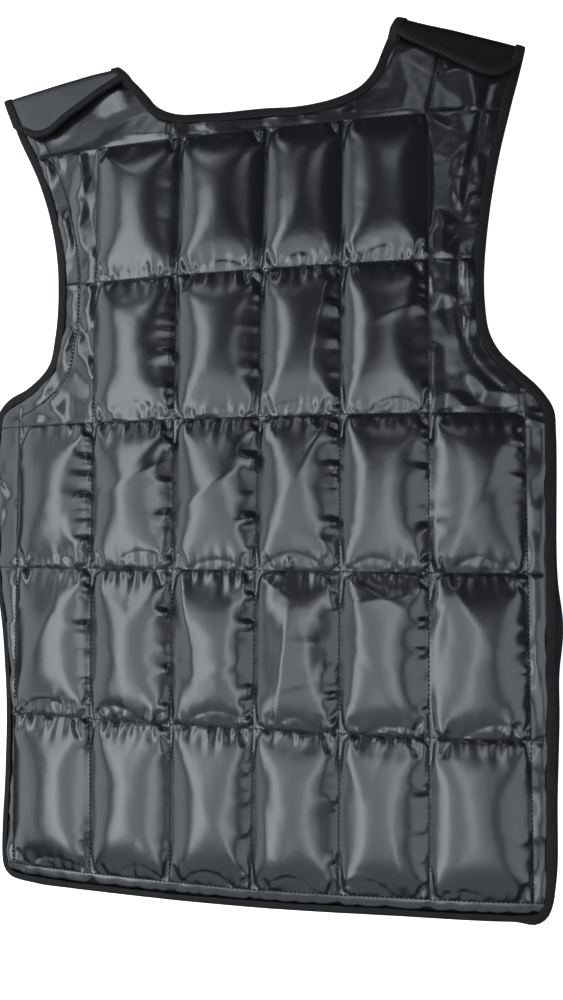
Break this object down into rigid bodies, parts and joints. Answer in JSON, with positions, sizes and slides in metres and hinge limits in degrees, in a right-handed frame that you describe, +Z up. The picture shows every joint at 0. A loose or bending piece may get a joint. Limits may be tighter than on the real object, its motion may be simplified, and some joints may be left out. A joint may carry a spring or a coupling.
{
  "type": "weighted vest",
  "caption": "Quilted satin weighted vest with rows of filled pockets, bound edges and shoulder flaps, lying flat with its back up; worn over the torso to add load.",
  "frame": {"origin": "middle of the footprint on the surface the vest lies on", "axes": "+Y from the hem to the shoulders, +X to the right seen from above, +Z up out of the back panel"},
  "size_m": [0.4716, 0.7106, 0.0483],
  "materials": {
    "satin": "satin",
    "binding": "matte"
  },
  "bodies": {
    "root": {"back_panel": "satin", "front_panel": "satin", "shoulder_flap_left": "satin", "shoulder_flap_right": "satin", "neck_binding": "binding", "back_edge_binding": "binding", "front_edge_binding": "binding"}
  },
  "joints": []
}
